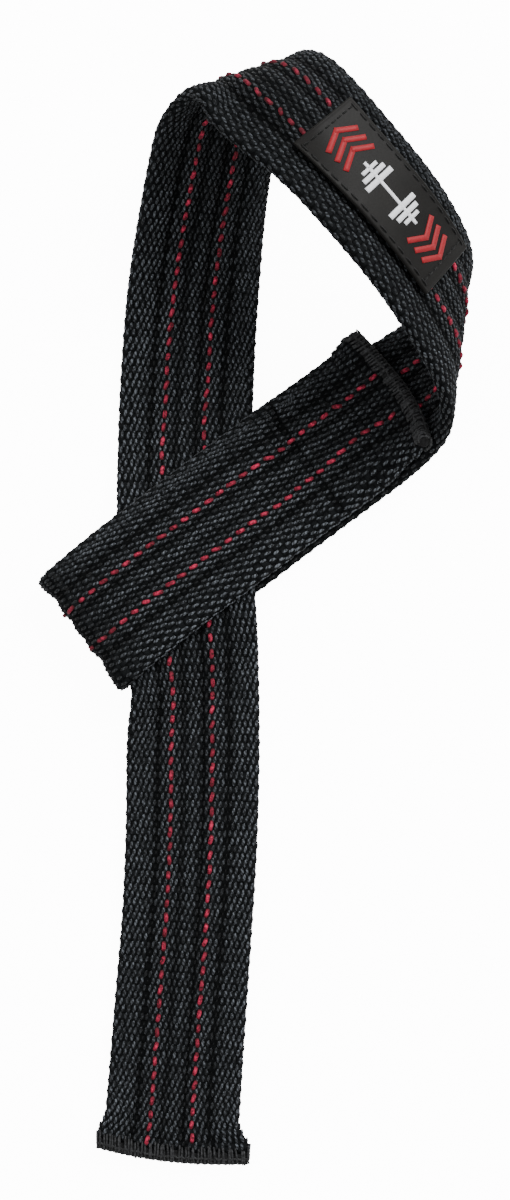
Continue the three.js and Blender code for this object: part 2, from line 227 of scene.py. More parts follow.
def dot(a, b):
    return np.sum(a * b, axis=-1)


def unit(vectors):
    return vectors / np.linalg.norm(vectors, axis=-1, keepdims=True)


def turned(vector, axis, angle):
    """The vector turned about a unit axis."""
    along_axis = axis * np.dot(axis, vector) * (1 - math.cos(angle))
    return vector * math.cos(angle) + np.cross(axis, vector) * math.sin(angle) + along_axis


def trace_band():
    """The middle of the band: its place on the flat pattern, and the pattern's frame in space."""
    flat = np.zeros(2)
    place = np.array([0, 0, STRAP_THICKNESS / 2])
    frame_axes = np.eye(3)
    trace = {"flat": [], "place": [], "sideways": [], "onwards": []}
    for i in range(TRACE_STEPS + 1):
        middle = (i + 0.5) * TRACE_STEP
        trace["flat"].append(flat.copy())
        trace["place"].append(place.copy())
        trace["sideways"].append(frame_axes[0].copy())
        trace["onwards"].append(frame_axes[1].copy())
        heading = math.radians(from_rows(LEAN_ROWS, "lean", middle))
        ruling = heading + math.radians(from_rows(BEND_ROWS, "slant", middle))
        bend = math.radians(from_rows(BEND_ROWS, "bend", middle)) * TRACE_STEP / STRAP_LENGTH * 100
        step = np.array([math.sin(heading), math.cos(heading)]) * TRACE_STEP
        axis = frame_axes[0] * math.cos(ruling) - frame_axes[1] * math.sin(ruling)
        for half in (0, 1):
            frame_axes = np.array([turned(direction, axis, bend / 2) for direction in frame_axes])
            if half == 0:
                place = place + frame_axes[0] * step[0] + frame_axes[1] * step[1]
        flat = flat + step
    steps = np.arange(TRACE_STEPS + 1) * TRACE_STEP
    trace = {name: np.array(values) for name, values in trace.items()}
    trace["heading"] = np.radians(from_rows(LEAN_ROWS, "lean", steps))
    trace["slant"] = np.radians(from_rows(BEND_ROWS, "slant", steps))
    return trace


TRACE = trace_band()


def trace_at(along):
    """The trace at any places along, also a little before its start."""
    index = np.clip(np.floor(along / TRACE_STEP).astype(int), 0, TRACE_STEPS - 1)
    share = along / TRACE_STEP - index
    found = {}
    for name, values in TRACE.items():
        part = share[..., None] if values.ndim == 2 else share
        found[name] = values[index] * (1 - part) + values[index + 1] * part
    return found


def bent_point(along, across):
    """Places in space of points of the flat band, from the lines that it bends about."""
    start = trace_at(along)
    x = start["flat"][..., 0] + across * np.cos(start["heading"])
    y = start["flat"][..., 1] - across * np.sin(start["heading"])
    place = along.astype(float)
    ruling = start
    for _ in range(RULING_TRIES):
        angle = ruling["heading"] + ruling["slant"]
        ahead_x = x - ruling["flat"][..., 0]
        ahead_y = y - ruling["flat"][..., 1]
        ahead = ahead_x * np.sin(angle) + ahead_y * np.cos(angle)
        place = place + RULING_STEP * ahead / np.cos(ruling["slant"])
        ruling = trace_at(place)
    off_x = (x - ruling["flat"][..., 0])[..., None]
    off_y = (y - ruling["flat"][..., 1])[..., None]
    return ruling["place"] + ruling["sideways"] * off_x + ruling["onwards"] * off_y


def on_table(along):
    point = bent_point(np.array([along]), np.array([0.0]))[0]
    return np.array([point[0], point[1], 0])


BACK_START = on_table(EYELET_START)
BACK_DIRECTION = unit(BACK_START - on_table(SETTLE_TO + BACK_SIGHT))
BACK_ACROSS = np.array([-BACK_DIRECTION[1], BACK_DIRECTION[0], 0])
CROSSING = trace_at(np.array([CROSSING_ALONG]))
CROSSING_PLACE = CROSSING["place"][0]
CROSSING_HEADING = CROSSING["heading"][0]
TAIL_ACROSS = np.array([math.cos(CROSSING_HEADING), -math.sin(CROSSING_HEADING), 0])


def layer_point(along, across):
    """The tail rides up over the back layer, and the back layer lies flat on the table."""
    point = bent_point(along, across)
    sag = STRAP_WIDTH * from_rows(CORNER_ROWS, "drop", along) * smooth(0, STRAP_WIDTH / 2, -across)
    height = point[..., 2] - sag
    rest = thickness_at(along) / 2 - STRAP_THICKNESS / 2
    beside = np.abs(dot(point - BACK_START, BACK_ACROSS))
    edge = STRAP_WIDTH / 2 + LAYER_MARGIN
    lift = 1 - smooth(edge, edge + TAIL_RAMP_RUN, beside)
    room = 1 - smooth(0, 2 * LAYER_STEP, height - STRAP_THICKNESS / 2)
    tail = height + rest * (1 - lift) + LAYER_STEP * lift * room
    settled = smooth(SETTLE_FROM, SETTLE_TO, along)
    back = height * (1 - settled) + thickness_at(along) / 2 * settled
    point[..., 2] = np.where(along < 0.5 * STRAP_LENGTH, tail, back)
    return point


def normal_of(point_at, along, across):
    onwards = point_at(along + 1, across) - point_at(along - 1, across)
    sideways = point_at(along, across + 1) - point_at(along, across - 1)
    return unit(np.cross(sideways, onwards))


def eyelet_point(along, across):
    """The turn round the tail's edge, then the front layer, which comes down beside the tail."""
    past = along - EYELET_START
    shift = EYELET_SHIFT * smooth(-SHIFT_RUN, EYELET_TURN + SHIFT_RUN, past)
    widening = EYELET_WIDENING / STRAP_WIDTH * smooth(-WIDENING_RUN, EYELET_TURN, past)
    sideways = across * (1 + widening) + shift
    angle = np.clip(past, 0, EYELET_TURN) / EYELET_RADIUS
    turn = layer_point(np.full_like(along, EYELET_START), sideways)
    reach = EYELET_RADIUS * np.sin(angle) + np.minimum(past, 0)
    turn = turn + BACK_DIRECTION * reach[..., None]
    turn[..., 2] = STRAP_THICKNESS / 2 + EYELET_RADIUS * (1 - np.cos(angle))
    below = EYELET_START - np.maximum(past - EYELET_TURN, 0)
    front = layer_point(below, sideways)
    beside = dot(front - CROSSING_PLACE, TAIL_ACROSS) - STRAP_WIDTH / 2
    over_tail = 1 - smooth(LAYER_MARGIN, LAYER_MARGIN + STEP_DOWN_RUN, beside)
    up = normal_of(layer_point, below, sideways)
    front = front + up * (LAYER_STEP * (1 + over_tail))[..., None]
    return np.where((past < EYELET_TURN)[..., None], turn, front)


def split_by(along, across, limit, before, after):
    """One function on the places before a limit, another on those after it."""
    points = np.empty(along.shape + (3,))
    early = along < limit
    points[early] = before(along[early], across[early])
    points[~early] = after(along[~early], across[~early])
    return points


def band_point(along, across):
    return split_by(along, across, EYELET_START, layer_point, eyelet_point)


def band_normal(along, across):
    def on_layers(a, c):
        return normal_of(layer_point, a, c)

    def on_eyelet(a, c):
        return normal_of(eyelet_point, np.maximum(a, EYELET_START + 1), c)

    return split_by(along, across, EYELET_START - 1, on_layers, on_eyelet)


def width_at(along):
    ends = 2 - smooth(0, HEM_FLARE_RUN, along) - smooth(0, HEM_FLARE_RUN, STRAP_LENGTH - along)
    return STRAP_WIDTH * from_rows(GIRTH_ROWS, "width", along) + 2 * HEM_FLARE * ends


def bowed_place(along, share):
    bow = 1 - 4 * share * share
    tail_end = 1 - smooth(0, HEM_BOW_RUN, along)
    eyelet_end = smooth(STRAP_LENGTH - HEM_BOW_RUN, STRAP_LENGTH, along)
    reach = EYELET_HEM_LEFT_REACH + (EYELET_HEM_RIGHT_REACH - EYELET_HEM_LEFT_REACH) * (share + 0.5)
    trim = TAIL_TRIM_LEFT + (TAIL_TRIM_RIGHT - TAIL_TRIM_LEFT) * (share + 0.5)
    return along + (trim - HEM_BOW * bow) * tail_end + (EYELET_HEM_BOW * bow + reach) * eyelet_end


def pinched_across(along, share):
    pinch = EDGE_PINCH * hump(along - PINCH_ALONG, PINCH_RUN)
    gather = STRAP_WIDTH * from_rows(CORNER_ROWS, "inward", along)
    drift = STRAP_WIDTH * from_rows(GIRTH_ROWS, "shift", along)
    flare = TAIL_CORNER_FLARE * (1 - smooth(0, HEM_FLARE_RUN, along)) * smooth(0, 0.5, share)
    return share * width_at(along) + drift + flare + (pinch + gather) * smooth(0, 0.5, -share)


# The padded section: crowned ribs, sewn channels, and the seam that closes the eyelet

RIB_FULLNESS = 3.4
FRONT_FULLNESS = 1.9
FULLNESS_RUN = 8.0
DEEPEST_CHANNEL = 0.85
TURN_DEPTH = 0.7
TURN_DEPTH_RUN = 11.0
CHANNEL_WIDTH = 1.0
DRIFT_FADE = (0.36, 0.48)
SEAM_DENT_DEPTH = 0.95
SEAM_DENT_ROWS = {"share": [-0.38, -0.15, 0.1, 0.33], "strength": [1, 0.6, 0.8, 1]}
SEAM_DENT_RUN = 1.9
SEAM_DENT_SPREAD = 0.06
SEAM_DENT_LEAST = 0.25
SEAM_DENT_FADE = (0.5, 0.44)
SEAM_SHADE_RUN = 0.55
SEAM_SHADE_ROWS = {"share": [-0.37, 0.28], "reach": [0.1, 0.18], "more": [0.75, 0.5]}
SEAM_PUFF = 0.35
SEAM_PUFF_RUN = 9.0
JOG = 0.045
JOG_RUN = 9.0
JOG_FADE = (-0.05, 0.18)


def channel_drift(along, share):
    """How far channels and red lines lie to the right of their places in the tail, as a share."""
    jog = JOG * hump(along - JOG_ALONG, JOG_RUN) * (1 - smooth(*JOG_FADE, share))
    fade = 1 - smooth(*DRIFT_FADE, np.abs(share))
    return (from_rows(CHANNEL_ROWS, "drift", along) + jog) * fade


def rib_place(share):
    """The rib that a share lies on, and how far across that rib it is."""
    limits = np.array([-0.5, *GROOVE_ROWS["across"], 0.5])
    rib = np.clip(np.searchsorted(limits, share, side="right") - 1, 0, len(limits) - 2)
    return rib, np.clip((share - limits[rib]) / (limits[rib + 1] - limits[rib]), 0, 1)


def padding(along, share):
    """Half of the thickness at a place across, as a share: crowned ribs and rounded edges."""
    depths = np.array([0, *GROOVE_ROWS["depth"], 0]) * GROOVE_DEPTH / (STRAP_THICKNESS / 2)
    rib, t = rib_place(share - channel_drift(along, share))
    front = smooth(-FULLNESS_RUN, FULLNESS_RUN, along - EYELET_START)
    fullness = RIB_FULLNESS + (FRONT_FULLNESS - RIB_FULLNESS) * front
    turn = 1 + TURN_DEPTH * hump(along - EYELET_START - EYELET_TURN / 2, TURN_DEPTH_RUN)
    channel = (depths[rib] * (1 - t) ** fullness + depths[rib + 1] * t**fullness) * turn
    channel = np.minimum(channel, DEEPEST_CHANNEL)
    inward = (0.5 - np.abs(share)) * STRAP_WIDTH
    edge = np.sqrt(np.clip(1 - (1 - np.clip(inward / EDGE_ROUNDING, 0, 1)) ** 2, 0, 1))
    return (1 - channel) * edge


def channel_shade(along, share):
    """One in the bottom of a channel, none on the ribs."""
    own = (share - channel_drift(along, share))[..., None]
    off = np.abs(own - np.array(GROOVE_ROWS["across"])) * STRAP_WIDTH
    return np.max(hump(off, CHANNEL_WIDTH) * np.array(GROOVE_ROWS["depth"]), axis=-1)


def front_painted_light(along, share):
    """Painted light and shade on the front layer's ribs: paler on their left and darker on their right."""
    rib, t = rib_place(share - channel_drift(along, share))
    outer_ribs = LAST_RIB_PAINTED_SHADE * (rib == LAST_RIB) - FIRST_RIB_PAINTED_LIGHT * (rib == 0) * (1 - t)
    lean = FRONT_PAINTED_LIGHT_SLOPE * t - FRONT_PAINTED_LIGHT_LIFT + outer_ribs
    return lean * smooth(-FRONT_PAINTED_LIGHT_RUN, FRONT_PAINTED_LIGHT_RUN, along - FRONT_START)


def side_painted_light(along, share):
    """Painted light and shade: sides of the tail that are paler or darker than its middle."""
    left = from_rows(SIDE_PAINTED_LIGHT_ROWS, "left", along) * smooth(*SIDE_PAINTED_LIGHT_FADES["left"], -share)
    return 1 + left + from_rows(SIDE_PAINTED_LIGHT_ROWS, "right", along) * smooth(*SIDE_PAINTED_LIGHT_FADES["right"], share)


def seam_shade(along, share, side):
    """One along the row of stitches that closes the eyelet, on the front layer's upper face."""
    width = SEAM_SHADE_RUN
    for centre, reach, more in zip(*SEAM_SHADE_ROWS.values()):
        width = width + more * (np.abs(share - centre) < reach)
    return hump(along - SEAM_ALONG, width) * (side < 0)


def seam_dents(along, share, side):
    """How far the row of stitches pulls the front layer's upper face in, and the puff beside it."""
    off = along - SEAM_ALONG
    pulled = SEAM_DENT_LEAST
    for centre, strength in zip(*SEAM_DENT_ROWS.values()):
        pulled = pulled + strength * hump(share - centre, SEAM_DENT_SPREAD)
    dent = SEAM_DENT_DEPTH * hump(off, SEAM_DENT_RUN) * pulled
    puff = SEAM_PUFF * hump(np.abs(off) - SEAM_PUFF_RUN / 2, SEAM_PUFF_RUN / 2)
    return (dent - puff) * (side < 0)


def surface(along, share, side, lift=0.0):
    """Points of the band's two faces, side 1 or -1, lifted off them by some millimetres."""
    along, share, side, lift = np.broadcast_arrays(
        *(np.asarray(value, float) for value in (along, share, side, lift))
    )
    place = bowed_place(along, share)
    across = pinched_across(along, share)
    inner = smooth(*SEAM_DENT_FADE, np.abs(share))
    ground = thickness_at(along) / 2 - YARN_RISE
    half = ground * padding(along, share) - seam_dents(along, share, side) * inner
    point = band_point(place, across)
    point = point + band_normal(place, across) * (side * (half + lift))[..., None]
    point[..., 2] = np.maximum(point[..., 2], 0.0)
    return point


# Meshes

def into_frame(points):
    """From the band's own millimetres to the frame's metres."""
    return (np.asarray(points) + FRAME_SHIFT) * MM


def new_object(name, mesh):
    piece = bpy.data.objects.new(name, mesh)
    bpy.context.scene.collection.objects.link(piece)
    return piece


def mark(mesh, name, values, kind="FLOAT"):
    """A named number or vector on each point of a mesh, for its material or its node tree."""
    field = "value" if kind == "FLOAT" else "vector"
    mesh.attributes.new(name, kind, "POINT").data.foreach_set(field, values.ravel())


def ring_faces(rings, size):
    """Quads round a tube of rings, with both ends closed by strips."""
    i, j = np.meshgrid(np.arange(rings - 1), np.arange(size), indexing="ij")
    a = (i * size + j).ravel()
    b = (i * size + (j + 1) % size).ravel()
    faces = np.stack([a, b, b + size, a + size], axis=1).tolist()
    for start, flip in ((0, True), ((rings - 1) * size, False)):
        for j in range(size // 2):
            quad = [start + j, start + j + 1, start + size - j - 1, start + (size - j) % size]
            quad = list(dict.fromkeys(quad))
            faces.append(quad[::-1] if flip else quad)
    return faces


def mesh_from_quads(name, points, faces, material, uv_places=None):
    mesh = bpy.data.meshes.new(name)
    mesh.from_pydata(into_frame(points).tolist(), [], faces)
    mesh.shade_smooth()
    mesh.materials.append(material)
    if uv_places is not None:
        layer = mesh.uv_layers.new(name="cloth")
        corners = np.empty(len(mesh.loops), dtype=np.int32)
        mesh.loops.foreach_get("vertex_index", corners)
        layer.data.foreach_set("uv", uv_places[corners].astype(np.float32).ravel())
    return new_object(name, mesh)


RING_STEP = 1.06
EDGE_INWARD = (0, 0.08, 0.3, 0.62, 1.05, 1.6)
RIB_STEPS = 54
RIBS_FROM_EDGE = 2.2


def section_shares():
    edge = np.array(EDGE_INWARD) / STRAP_WIDTH
    inner = 0.5 - RIBS_FROM_EDGE / STRAP_WIDTH
    middle = np.linspace(-inner, inner, RIB_STEPS)
    return np.concatenate([-0.5 + edge, middle, 0.5 - edge[::-1]])


def make_band(material):
    """The padded band: rings of both faces, one after another along its length."""
    upper = section_shares()
    lower = upper[1:-1][::-1]
    share = np.concatenate([upper, lower])
    side = np.concatenate([np.ones(len(upper)), -np.ones(len(lower))])
    rings = round(STRAP_LENGTH / RING_STEP) + 1
    along = np.linspace(0, STRAP_LENGTH, rings)
    points = surface(along[:, None], share, side)
    along, share = np.broadcast_arrays(along[:, None], share)
    places = np.stack([(share - channel_drift(along, share)) * STRAP_WIDTH, along], axis=-1)
    faces = ring_faces(rings, share.shape[1])
    band = mesh_from_quads("webbing_band", points.reshape(-1, 3), faces, material, places.reshape(-1, 2))
    # The 'channel' values are painted shade in the channels and along the seam, for the ground's colour
    mark(band.data, "channel", np.maximum(channel_shade(along, share), seam_shade(along, share, side)))
    return band


# Node trees: a new group, a new node, and the nodes that several trees or materials share

def new_tree(name, kind, inputs, outputs):
    """An empty node group with named sockets: the group, its given sockets and its result sockets."""
    tree = bpy.data.node_groups.new(name, kind)
    for way, sockets in (("INPUT", inputs), ("OUTPUT", outputs)):
        for label, sort in sockets.items():
            tree.interface.new_socket(label, in_out=way, socket_type="NodeSocket" + sort)
    return tree, tree.nodes.new("NodeGroupInput").outputs, tree.nodes.new("NodeGroupOutput").inputs


def node(tree, kind, inputs=None, **settings):
    """A new node with its settings; each input is a value or another node's socket."""
    made = tree.nodes.new(kind)
    for label, value in settings.items():
        setattr(made, label, value)
    for socket, value in (inputs or {}).items():
        if isinstance(value, bpy.types.NodeSocket):
            tree.links.new(value, made.inputs[socket])
        else:
            made.inputs[socket].default_value = value
    return made


def named_value(tree, name, kind="FLOAT_VECTOR"):
    found = node(tree, "GeometryNodeInputNamedAttribute", {"Name": name}, data_type=kind)
    return found.outputs["Attribute"]


def end_tree(tree, geometry, given, result):
    """Every tree here ends in real meshes, shaded smooth, with the given material."""
    for kind, inputs in (
        ("GeometryNodeRealizeInstances", {}),
        ("GeometryNodeSetShadeSmooth", {}),
        ("GeometryNodeSetMaterial", {"Material": given["Material"]}),
    ):
        geometry = node(tree, kind, {"Geometry": geometry, **inputs}).outputs["Geometry"]
    tree.links.new(geometry, result["Geometry"])


# Threads: curves that follow the cloth, made round by one Geometry Nodes tree

def thread_tree():
    """Edges of a mesh as round threads, thicker or thinner by their 'fullness' values."""
    inputs = {"Geometry": "Geometry", "Thread radius": "Float", "Sides": "Int", "Material": "Material"}
    tree, given, result = new_tree("round threads", "GeometryNodeTree", inputs, {"Geometry": "Geometry"})
    middle = node(tree, "GeometryNodeMeshToCurve", {"Mesh": given["Geometry"]}).outputs["Curve"]
    swell = {"Curve": middle, "Radius": named_value(tree, "fullness", "FLOAT")}
    middle = node(tree, "GeometryNodeSetCurveRadius", swell).outputs["Curve"]
    round_size = {"Resolution": given["Sides"], "Radius": given["Thread radius"]}
    ring = node(tree, "GeometryNodeCurvePrimitiveCircle", round_size).outputs["Curve"]
    sweep = {"Curve": middle, "Profile Curve": ring, "Fill Caps": True}
    end_tree(tree, node(tree, "GeometryNodeCurveToMesh", sweep).outputs["Mesh"], given, result)
    return tree


def applied(piece, tree, values):
    """The piece with a Geometry Nodes tree run on it, as a plain mesh under the same name."""
    name = piece.name
    modifier = piece.modifiers.new("tree", "NODES")
    modifier.node_group = tree
    for item in tree.interface.items_tree:
        if item.in_out == "INPUT" and item.name in values:
            modifier[item.identifier] = values[item.name]
    depsgraph = bpy.context.evaluated_depsgraph_get()
    mesh = bpy.data.meshes.new_from_object(piece.evaluated_get(depsgraph), depsgraph=depsgraph)
    guide = piece.data
    bpy.data.objects.remove(piece)
    bpy.data.meshes.remove(guide)
    mesh.name = name
    return new_object(name, mesh)


def make_threads(name, paths, radius, material, taper=None, sides=6, tones=None):
    """Round threads along paths, an array of (threads, points, 3) in the band's millimetres."""
    count, steps = paths.shape[:2]
    mesh = bpy.data.meshes.new(name + " guide")
    index = np.arange(count * steps).reshape(count, steps)
    edges = np.stack([index[:, :-1].ravel(), index[:, 1:].ravel()], axis=1)
    mesh.from_pydata(into_frame(paths.reshape(-1, 3)).tolist(), edges.tolist(), [])
    mark(mesh, "fullness", np.tile(np.ones(steps) if taper is None else np.array(taper, float), count))
    if tones is not None:
        mark(mesh, "tone", np.repeat(tones, steps))
    guide = new_object(name, mesh)
    values = {"Thread radius": radius * MM, "Sides": sides, "Material": material}
    return kept_above_table(applied(guide, THREAD_TREE, values))


def float_tree():
    """Yarn floats: a small ellipsoid on each point, laid by its 'off', 'run' and 'size' values."""
    inputs = {"Geometry": "Geometry", "Roundness": "Int", "Material": "Material"}
    tree, given, result = new_tree("yarn floats", "GeometryNodeTree", inputs, {"Geometry": "Geometry"})
    ball = {"Radius": 1.0, "Subdivisions": given["Roundness"]}
    ball = node(tree, "GeometryNodeMeshIcoSphere", ball).outputs["Mesh"]
    spot = node(tree, "GeometryNodeInputPosition").outputs[0]
    marked = {"Geometry": ball, "Name": "on_float", "Value": spot}
    marked = node(tree, "GeometryNodeStoreNamedAttribute", marked, data_type="FLOAT_VECTOR", domain="POINT")
    axes = {0: named_value(tree, "off"), 1: named_value(tree, "run")}
    lay = node(tree, "FunctionNodeAxesToRotation", axes, primary_axis="Z", secondary_axis="Y")
    laid = {
        "Points": given["Geometry"],
        "Instance": marked.outputs["Geometry"],
        "Rotation": lay.outputs["Rotation"],
        "Scale": named_value(tree, "size"),
    }
    floats = node(tree, "GeometryNodeInstanceOnPoints", laid).outputs["Instances"]
    end_tree(tree, floats, given, result)
    return tree


def float_places(side, columns, rng):
    """Places along and shares across where the warp yarns of these columns show on a face."""
    rows = np.arange(math.floor(STRAP_LENGTH / FLOAT_PERIOD) + 1)
    odd_here = (columns % 2 == 1) == (side > 0)
    along = (rows + 0.5 * odd_here[:, None]) * FLOAT_PERIOD + FIRST_FLOAT
    share = RED_ROWS[0] + columns[:, None] * WARP_COLUMN / STRAP_WIDTH + 0 * along
    along, share = along.ravel(), share.ravel()
    kept = along < STRAP_LENGTH - LAST_FLOAT_FROM_END
    along, share = along[kept], share[kept]
    along = along + rng.normal(0, FLOAT_SCATTER, along.shape)
    return along, share + channel_drift(along, share) + rng.normal(0, COLUMN_SCATTER, share.shape)


def float_piece(name, points, run, off, shade, tones, material, rng):
    """One piece of yarn floats; shade is painted shade, one where they lie in a channel or a seam, and tones
    hold painted light and shade.
    """
    across = np.cross(run, off)
    run = unit(run + across * rng.normal(FLOAT_TILT, FLOAT_TILT_SPREAD, (len(points), 1)))
    size = np.array(FLOAT_SIZE) * rng.normal(1, FLOAT_SIZE_SPREAD, (len(points), 3))
    mesh = bpy.data.meshes.new(name + " guide")
    mesh.from_pydata(into_frame(points).tolist(), [], [])
    for label, values in (("off", off), ("run", run), ("size", size * MM)):
        mark(mesh, label, values, "FLOAT_VECTOR")
    mark(mesh, "tone", tones * rng.uniform(*FLOAT_TONES, len(points)) * (1 - SHADE_STRENGTH * shade))
    guide = new_object(name, mesh)
    return kept_above_table(applied(guide, FLOAT_TREE, {"Roundness": 1, "Material": material}))


def make_floats(name, side, material, rng):
    """The black warp yarns where they lie on top of a face: one ellipsoid for each float."""
    most = 0.5 - FLOAT_FROM_EDGE / STRAP_WIDTH
    last = math.floor((most - RED_ROWS[0]) * STRAP_WIDTH / WARP_COLUMN)
    first = -math.floor((most + RED_ROWS[0]) * STRAP_WIDTH / WARP_COLUMN)
    columns = np.arange(first, last + 1)
    columns = columns[(columns != 0) & (columns != COLUMNS_BETWEEN_RED)]
    along, share = float_places(side, columns, rng)
    step = ACROSS_PROBE / STRAP_WIDTH
    run = unit(surface(along + ALONG_PROBE, share, side) - surface(along - ALONG_PROBE, share, side))
    across = surface(along, share + step, side) - surface(along, share - step, side)
    off = unit(np.cross(across, run)) * side
    # Painted shade in the channels and along the seam
    shade = np.maximum(channel_shade(along, share), seam_shade(along, share, side))
    # Painted light and shade across the front layer's ribs, added to the painted shade
    shade = shade + front_painted_light(along, share) * (1 - shade)
    points = surface(along, share, side, -FLOAT_SINK - FLOAT_SINK_IN_SHADE * shade)
    # Painted light and shade along the band and on the tail's sides
    tones = from_rows(PAINTED_LIGHT_ROWS, "tone", along) * side_painted_light(along, share)
    return float_piece(name, points, run, off, shade, tones, material, rng)


def make_edge_floats(name, material, rng):
    """The warp yarns round the rim of both edges, in three columns one above another."""
    last = STRAP_LENGTH - EDGE_FLOAT_FROM_END
    rows = np.arange(EDGE_FLOAT_FROM_END, last, FLOAT_PERIOD)
    edge, level, along = (value.ravel() for value in np.meshgrid([-1, 1], [-1, 0, 1], rows, indexing="ij"))
    along = along + (level == 0) * FLOAT_PERIOD / 2 + rng.normal(0, EDGE_FLOAT_SCATTER, along.shape)
    along = np.minimum(along, last)
    share = 0.5 * edge
    place = bowed_place(along, share)
    across = pinched_across(along, share)
    middle = band_point(place, across)
    outwards = unit(middle - band_point(place, across - edge))
    normal = band_normal(place, across)
    run = unit(band_point(place + ALONG_PROBE, across) - band_point(place - ALONG_PROBE, across))
    height = level * EDGE_COLUMN_HEIGHT
    sink = EDGE_FLOAT_SINK + EDGE_COLUMN_SINK * level**2
    points = middle + normal * height[:, None] - outwards * sink[:, None]
    off = unit(outwards + normal * (EDGE_COLUMN_TURN * level)[:, None])
    off = unit(off - run * dot(off, run)[:, None])
    # Painted light and shade along the band and on the tail's sides
    tones = from_rows(PAINTED_LIGHT_ROWS, "tone", along) * side_painted_light(along, share)
    return float_piece(name, points, run, off, front_painted_light(along, share), tones, material, rng)


def kept_above_table(piece):
    """Yarns under the tail are pressed flat where they rest on the table."""
    places = np.empty(len(piece.data.vertices) * 3)
    piece.data.vertices.foreach_get("co", places)
    places[2::3] = np.maximum(places[2::3], 0)
    piece.data.vertices.foreach_set("co", places)
    piece.data.update()
    return piece


def red_float_paths(rng):
    """Red warp floats that rise out of the weave and dive back into it, on both faces."""
    steps = np.linspace(-0.5, 0.5, 5)
    arch = RED_ARCH * np.cos(steps * math.pi) - RED_SINK
    columns = np.array([0, COLUMNS_BETWEEN_RED])
    paths, tones = [], []
    for side in (1, -1):
        along, share = float_places(side, columns, rng)
        count = (len(along), 1)
        # Random tones of the red floats, times painted light and shade along the band
        tones.append(rng.uniform(*RED_TONES, len(along)) * from_rows(RED_PAINTED_LIGHT_ROWS, "tone", along))
        twist = rng.normal(RED_TWIST * side, RED_TWIST_SPREAD, count) * steps
        along = along[:, None] + steps * RED_FLOAT * rng.normal(1, RED_FLOAT_SPREAD, count)
        paths.append(surface(along, share[:, None] + twist / STRAP_WIDTH, side, arch))
    return np.concatenate(paths), np.concatenate(tones)


def hem_outline(end, direction, share, depth, height):
    """Points by an end's hem: depth straight outwards from the cloth's end, height off its middle."""
    at_end = np.full_like(share, end)
    place = bowed_place(at_end, share)
    across = pinched_across(at_end, share)
    middle = band_point(place, across)
    outwards = unit(middle - band_point(place - direction, across))
    point = middle + outwards * depth[..., None] + band_normal(place, across) * height[..., None]
    point[..., 2] = np.maximum(point[..., 2], 0.0)
    return point


OVERLOCK_PITCH = 0.78
TAIL_OVERLOCK_COVER = 1.5
EYELET_OVERLOCK_COVER = 0.85
OVERLOCK_RAGGEDNESS = 0.2
INNER_RAGGEDNESS = 1.8
HEM_OVERLAP = 0.9
OVERLOCK_ENDS = 0.49
OVERLOCK_BELOW_FACE = (0.9, 0.35, 0.05)
OVERLOCK_HEIGHTS = (1.95, 1.45, 0)
OVERLOCK_BACK = 0.73
OVERLOCK_TOP = 0.55
OVERLOCK_SHOULDER = 0.45
OVERLOCK_LEAN = 0.009
OVERLOCK_LEAN_SPREAD = 0.9
OVERLOCK_SCATTER = 0.005
HEM_RINGS = 90
HEM_SIDES = 18
HEM_CORNER = 0.06
HEM_CORNER_LEAST = 0.08
HEM_WAVES = ((0.05, 61, 0), (0.04, 23, 1))
RIM_POINTS = 80
RIM_WAVE = 0.18
RIM_WAVE_STEP = 1.9
RIM_SIDE_WAVE = 0.6
RIDGE_PLACE = 0.35
RIDGE_SIDE_WAVE = 1.2
RIDGE_RISE = 0.12


def make_hem(name, end, direction, material):
    """The bound end: a soft bar with rounded corners, a little uneven."""
    share = np.linspace(-0.5, 0.5, HEM_RINGS)
    angle = np.linspace(0, 2 * math.pi, HEM_SIDES, endpoint=False)
    past = (2 * np.abs(share) - (1 - HEM_CORNER)).clip(0)
    ends = np.sqrt(np.clip(1 - past**2 / HEM_CORNER**2, HEM_CORNER_LEAST, 1))
    wobble = 1 + sum(height * np.sin(share * pace + start) for height, pace, start in HEM_WAVES)
    girth = (ends * wobble)[:, None]
    reach = (HEM_GAP + HEM_DEPTH + HEM_OVERLAP) / 2
    depth = reach - HEM_OVERLAP - reach * np.cos(angle) * girth
    height = HEM_THICKNESS / 2 * np.sin(angle) * girth
    shares = np.broadcast_to(share[:, None], depth.shape)
    points = hem_outline(end, direction, shares.copy(), depth, height)
    if direction > 0:
        points = points[:, ::-1]
    faces = ring_faces(HEM_RINGS, HEM_SIDES)
    return mesh_from_quads(name, points.reshape(-1, 3), faces, material)


def hem_thread_paths(end, direction, rng):
    """Overlock threads: over the face, round the end and back under it, close together."""
    count = round(STRAP_WIDTH / OVERLOCK_PITCH)
    share = np.linspace(-OVERLOCK_ENDS, OVERLOCK_ENDS, count)
    outer = HEM_GAP + HEM_DEPTH
    cover = TAIL_OVERLOCK_COVER if direction < 0 else EYELET_OVERLOCK_COVER
    depth = [-cover, -OVERLOCK_BACK * cover, 0, outer * OVERLOCK_TOP, outer - OVERLOCK_SHOULDER, outer]
    depth = np.array(depth + depth[-2::-1])
    height = [*(STRAP_THICKNESS / 2 - below for below in OVERLOCK_BELOW_FACE), *OVERLOCK_HEIGHTS]
    height = np.array(height + [-value for value in height[-2::-1]])
    slant = np.linspace(-OVERLOCK_LEAN, OVERLOCK_LEAN, len(depth))
    lean = rng.normal(1, OVERLOCK_LEAN_SPREAD, (count, 1))
    shares = share[:, None] + slant * lean + rng.normal(0, OVERLOCK_SCATTER, (count, 1))
    shares = np.clip(shares, -0.5, 0.5)
    ragged = rng.normal(0, OVERLOCK_RAGGEDNESS, (count, 1)) * np.where(depth > 0, 1, INNER_RAGGEDNESS)
    heights = np.broadcast_to(height, shares.shape)
    return hem_outline(end, direction, shares, depth + ragged, heights)


